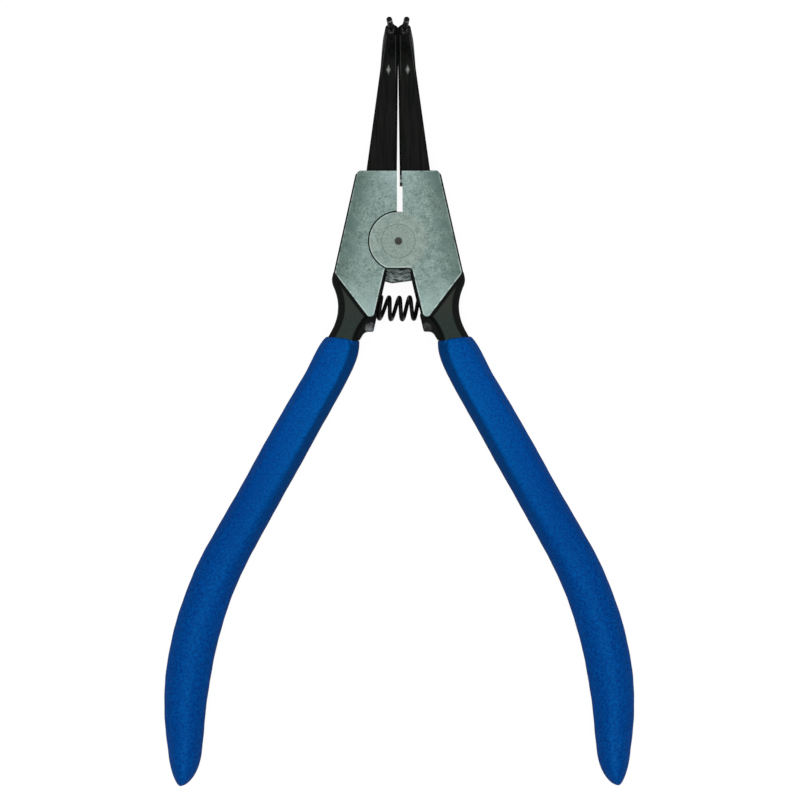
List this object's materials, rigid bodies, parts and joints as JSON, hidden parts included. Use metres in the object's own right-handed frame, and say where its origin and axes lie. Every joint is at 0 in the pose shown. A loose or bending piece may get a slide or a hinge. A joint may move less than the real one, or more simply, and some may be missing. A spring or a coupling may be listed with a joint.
{
  "type": "retaining ring pliers",
  "caption": "External retaining-ring pliers with slim noses bent towards the front, round tips, a riveted lap joint, a helical return spring and dipped grips; squeezing the handles spreads the tips.",
  "frame": {"origin": "on the pivot axis, in the ground rear face that the tool rests on", "axes": "+X to the right handle seen from the front, +Y from the pivot to the noses, +Z from the rear face to the front, the way the tips bend"},
  "size_m": [0.108, 0.1746, 0.0197],
  "materials": {
    "forged_half": "black phosphated forging with ground steel faces at the head",
    "rivet_steel": "ground flush with the faces",
    "spring_steel": "black oiled spring wire",
    "tip_steel": "turned and darkened spring steel",
    "blue_dip": "soft dipped vinyl, satin with a fine mottle"
  },
  "bodies": {
    "left_side": {"left_half": "forged_half", "pivot_rivet": "rivet_steel", "return_spring": "spring_steel", "left_tip": "tip_steel", "left_grip": "blue_dip"},
    "right_side": {"right_half": "forged_half", "right_tip": "tip_steel", "right_grip": "blue_dip"}
  },
  "joints": [
    {"name": "pivot", "type": "hinge", "parent": "left_side", "child": "right_side", "pos_m": [0, 0, 0.005], "axis": [0, 0, -1], "range_deg": [0, 29], "stiffness_Nm_per_rad": 1.05, "springref_deg": -3.44, "deforming": ["return_spring"]}
  ]
}
